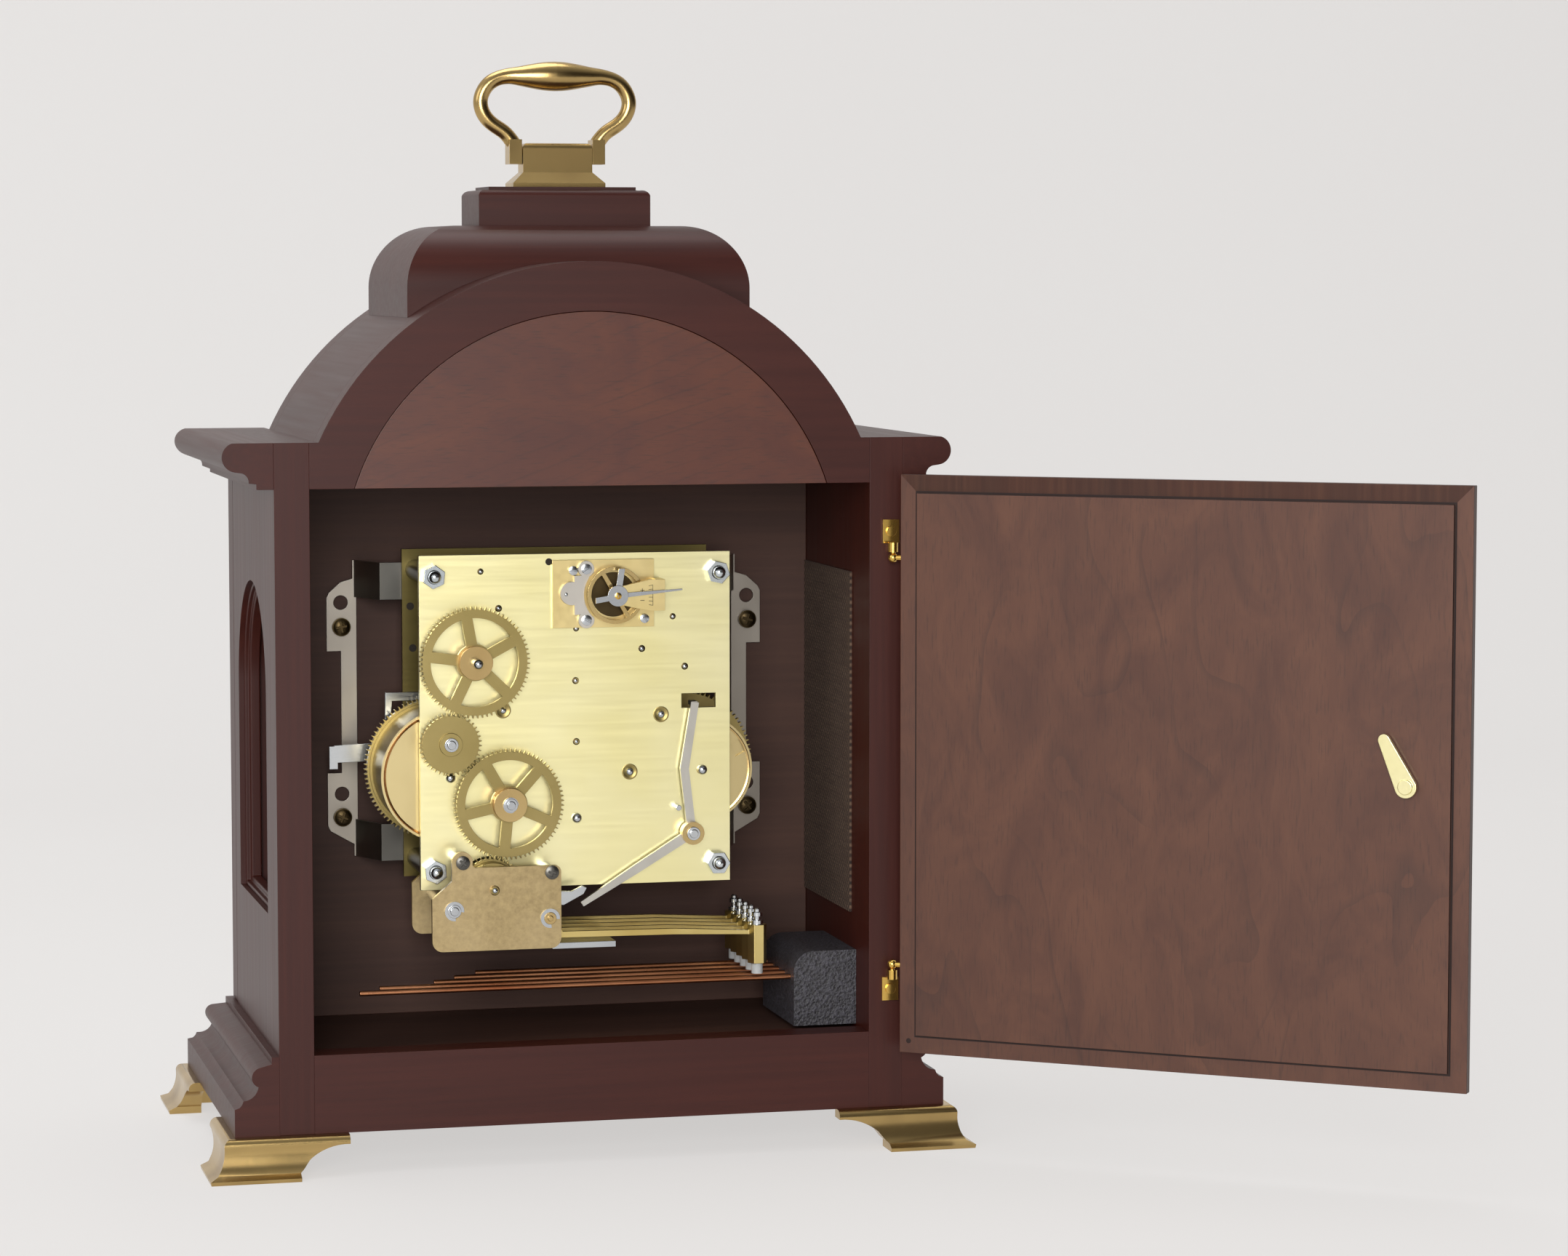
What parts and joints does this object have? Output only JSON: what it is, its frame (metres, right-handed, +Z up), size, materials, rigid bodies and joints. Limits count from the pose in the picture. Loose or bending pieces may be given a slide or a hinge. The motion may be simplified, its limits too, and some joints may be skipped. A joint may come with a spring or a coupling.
{
  "type": "bracket clock",
  "caption": "Bracket clock in a break-arch wooden case with a bail handle, bracket feet, a glazed front door, an open back door and a chiming plate movement.",
  "frame": {"origin": "middle of the plinth's footprint, on the surface that the feet stand on", "axes": "+Z up; the dial and the front door face -Y; the back door is at +Y; +X is the right-hand side seen from the front"},
  "size_m": [0.4425, 0.3091, 0.417],
  "materials": {
    "mahogany": "satin lacquer",
    "mahogany_veneer": "satin lacquer",
    "mahogany_door": "satin lacquer",
    "dark_board": "matt stain",
    "antique_brass": "polished and lacquered",
    "plate_brass": "polished",
    "wheel_brass": "machined",
    "hammer_brass": "machined",
    "steel": "nickel plated",
    "passivated_steel": "yellow passivated",
    "copper_rod": "copper plated",
    "cast_black": "crinkle paint",
    "silvered": "silvered",
    "blued_steel": "blued",
    "glass": "clear",
    "sound_cloth": "open weave"
  },
  "bodies": {
    "case": {"side_panels": "mahogany", "bottom_rails": "mahogany", "floor_board": "dark_board", "base_moulding": "mahogany", "cornice_moulding": "mahogany", "back_arch_frame": "mahogany", "tympanum_panel": "mahogany_veneer", "front_arch_frame": "mahogany", "arch_roof": "mahogany", "bell_top": "mahogany", "handle_plinth": "mahogany", "handle_pedestal": "antique_brass", "bracket_feet": "antique_brass", "case_screws": "antique_brass", "window_mouldings": "mahogany", "window_cloths": "sound_cloth", "dial_board": "dark_board", "chime_block": "cast_black", "chime_rods": "copper_rod", "hinge_plates": "antique_brass", "rear_plate": "plate_brass", "front_plate": "plate_brass", "plate_pillars": "steel", "movement_brackets": "steel", "movement_screws": "steel", "movement_studs": "steel", "dial_plate": "plate_brass", "chapter_rings": "silvered", "chime_covers": "passivated_steel", "hammer_rest": "steel", "platform_plate": "plate_brass", "platform_bridges": "plate_brass"},
    "handle": {"handle_bail": "antique_brass"},
    "back_door": {"back_door_panel": "mahogany_door", "back_hinge_arms": "antique_brass"},
    "latch": {"latch_lever": "plate_brass"},
    "front_door": {"front_door_frame": "mahogany", "front_door_glass": "glass", "front_door_knob": "antique_brass"},
    "minute_arbor": {"minute_hand": "blued_steel", "centre_wheel": "wheel_brass"},
    "hour_pipe": {"hour_hand": "blued_steel"},
    "minute_wheel": {"minute_wheel": "wheel_brass"},
    "third_wheel": {"third_wheel": "wheel_brass"},
    "time_barrel": {"time_barrel": "wheel_brass"},
    "chime_barrel": {"chime_barrel": "wheel_brass"},
    "strike_barrel": {"strike_barrel": "wheel_brass"},
    "balance": {"balance_wheel": "plate_brass"},
    "regulator": {"regulator": "steel"},
    "chime_upper": {"chime_wheel_upper": "wheel_brass"},
    "chime_idler": {"chime_idler": "wheel_brass"},
    "chime_lower": {"chime_wheel_lower": "wheel_brass"},
    "chime_drum": {"chime_drum": "wheel_brass"},
    "selector": {"selector_lever": "steel"},
    "silence": {"silence_lever": "steel"},
    "hammer_1": {"hammer_1": "hammer_brass"},
    "hammer_2": {"hammer_2": "hammer_brass"},
    "hammer_3": {"hammer_3": "hammer_brass"},
    "hammer_4": {"hammer_4": "hammer_brass"},
    "hammer_5": {"hammer_5": "hammer_brass"}
  },
  "joints": [
    {"name": "handle_swing", "type": "hinge", "parent": "case", "child": "handle", "pos_m": [0, 0.0056, 0.38215], "axis": [1, 0, 0], "range_deg": [-90, 90]},
    {"name": "back_door_swing", "type": "hinge", "parent": "case", "child": "back_door", "pos_m": [-0.115, 0.0821, 0], "axis": [0, 0, 1], "range_deg": [-143, 22]},
    {"name": "latch_turn", "type": "hinge", "parent": "back_door", "child": "latch", "pos_m": [-0.27456, 0.20684, 0.1501], "axis": [-0.6018, -0.7986, 0], "range_deg": [-30, 116]},
    {"name": "front_door_swing", "type": "hinge", "parent": "case", "child": "front_door", "pos_m": [0.1175, -0.0585, 0], "axis": [0, 0, 1], "range_deg": [0, 115]},
    {"name": "minute_turn", "type": "hinge", "parent": "case", "child": "minute_arbor", "pos_m": [0, 0, 0.1563], "axis": [0, 1, 0], "continuous": true},
    {"name": "hour_turn", "type": "hinge", "parent": "case", "child": "hour_pipe", "pos_m": [0, 0, 0.1563], "axis": [0, 1, 0], "continuous": true},
    {"name": "minute_wheel_turn", "type": "hinge", "parent": "case", "child": "minute_wheel", "pos_m": [-0.01247, 0, 0.1491], "axis": [0, 1, 0], "continuous": true},
    {"name": "third_wheel_turn", "type": "hinge", "parent": "case", "child": "third_wheel", "pos_m": [0, 0, 0.17981], "axis": [0, 1, 0], "continuous": true},
    {"name": "time_barrel_turn", "type": "hinge", "parent": "case", "child": "time_barrel", "pos_m": [0, 0, 0.1268], "axis": [0, 1, 0], "continuous": true},
    {"name": "chime_upper_turn", "type": "hinge", "parent": "case", "child": "chime_upper", "pos_m": [0.0403, 0, 0.1881], "axis": [0, 1, 0], "continuous": true},
    {"name": "chime_idler_turn", "type": "hinge", "parent": "case", "child": "chime_idler", "pos_m": [0.0498, 0, 0.15704], "axis": [0, 1, 0], "continuous": true},
    {"name": "chime_lower_turn", "type": "hinge", "parent": "case", "child": "chime_lower", "pos_m": [0.02736, 0, 0.13356], "axis": [0, 1, 0], "continuous": true},
    {"name": "chime_drum_turn", "type": "hinge", "parent": "case", "child": "chime_drum", "pos_m": [0.03466, 0, 0.10191], "axis": [0, 1, 0], "continuous": true},
    {"name": "chime_barrel_turn", "type": "hinge", "parent": "case", "child": "chime_barrel", "pos_m": [0.0492, 0, 0.144], "axis": [0, 1, 0], "continuous": true},
    {"name": "strike_barrel_turn", "type": "hinge", "parent": "case", "child": "strike_barrel", "pos_m": [-0.0492, 0, 0.144], "axis": [0, 1, 0], "continuous": true},
    {"name": "balance_swing", "type": "hinge", "parent": "case", "child": "balance", "pos_m": [-0.0144, 0, 0.2128], "axis": [0, 1, 0], "range_deg": [-150, 150], "stiffness_Nm_per_rad": 0.000025},
    {"name": "regulator_shift", "type": "hinge", "parent": "case", "child": "regulator", "pos_m": [-0.0144, 0, 0.2128], "axis": [0, 1, 0], "range_deg": [-12, 12]},
    {"name": "selector_shift", "type": "hinge", "parent": "case", "child": "selector", "pos_m": [-0.0447, 0, 0.1201], "axis": [0, 1, 0], "range_deg": [-6, 3]},
    {"name": "silence_shift", "type": "hinge", "parent": "case", "child": "silence", "pos_m": [0.0546, 0, 0.15], "axis": [0, 1, 0], "range_deg": [-8, 8]},
    {"name": "hammer_1_lift", "type": "hinge", "parent": "case", "child": "hammer_1", "pos_m": [0.0133, 0, 0.0905], "axis": [0, 1, 0], "range_deg": [0, 6]},
    {"name": "hammer_2_lift", "type": "hinge", "parent": "case", "child": "hammer_2", "pos_m": [0.0133, 0, 0.0905], "axis": [0, 1, 0], "range_deg": [0, 6]},
    {"name": "hammer_3_lift", "type": "hinge", "parent": "case", "child": "hammer_3", "pos_m": [0.0133, 0, 0.0905], "axis": [0, 1, 0], "range_deg": [0, 6]},
    {"name": "hammer_4_lift", "type": "hinge", "parent": "case", "child": "hammer_4", "pos_m": [0.0133, 0, 0.0905], "axis": [0, 1, 0], "range_deg": [0, 6]},
    {"name": "hammer_5_lift", "type": "hinge", "parent": "case", "child": "hammer_5", "pos_m": [0.0133, 0, 0.0905], "axis": [0, 1, 0], "range_deg": [0, 6]}
  ],
  "couplings": [
    {"joint": "hour_turn", "follows": "minute_turn", "ratio": 0.083333},
    {"joint": "minute_wheel_turn", "follows": "minute_turn", "ratio": -0.33333},
    {"joint": "third_wheel_turn", "follows": "minute_turn", "ratio": -8},
    {"joint": "time_barrel_turn", "follows": "minute_turn", "ratio": -0.125},
    {"joint": "chime_idler_turn", "follows": "chime_upper_turn", "ratio": -1.8},
    {"joint": "chime_lower_turn", "follows": "chime_upper_turn", "ratio": 1},
    {"joint": "chime_drum_turn", "follows": "chime_upper_turn", "ratio": -1.8},
    {"joint": "chime_barrel_turn", "follows": "chime_upper_turn", "ratio": -0.1}
  ]
}
